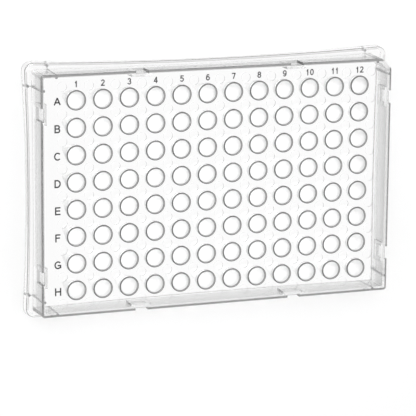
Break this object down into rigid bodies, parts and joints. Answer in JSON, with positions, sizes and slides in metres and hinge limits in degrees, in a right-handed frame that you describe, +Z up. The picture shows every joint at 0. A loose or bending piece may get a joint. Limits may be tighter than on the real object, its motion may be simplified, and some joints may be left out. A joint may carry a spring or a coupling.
{
  "type": "well plate",
  "caption": "Skirted plate with a standard footprint: a clear flat deck over a stepped skirt carries a grid of small round thin-walled wells with raised rims.",
  "frame": {"origin": "centre of the base, on the plane that the lip's underside rests on", "axes": "+X from column 1 to column 12, +Y towards row A, +Z up out of the wells' mouths; the cut corner is at +X +Y"},
  "size_m": [0.1278, 0.0854, 0.0143],
  "materials": {
    "clear_frame": "clear moulded polycarbonate, polished",
    "clear_wells": "natural polypropylene, thin-walled and almost clear"
  },
  "bodies": {
    "root": {"frame": "clear_frame", "wells_row_a": "clear_wells", "wells_row_b": "clear_wells", "wells_row_c": "clear_wells", "wells_row_d": "clear_wells", "wells_row_e": "clear_wells", "wells_row_f": "clear_wells", "wells_row_g": "clear_wells", "wells_row_h": "clear_wells"}
  },
  "joints": []
}
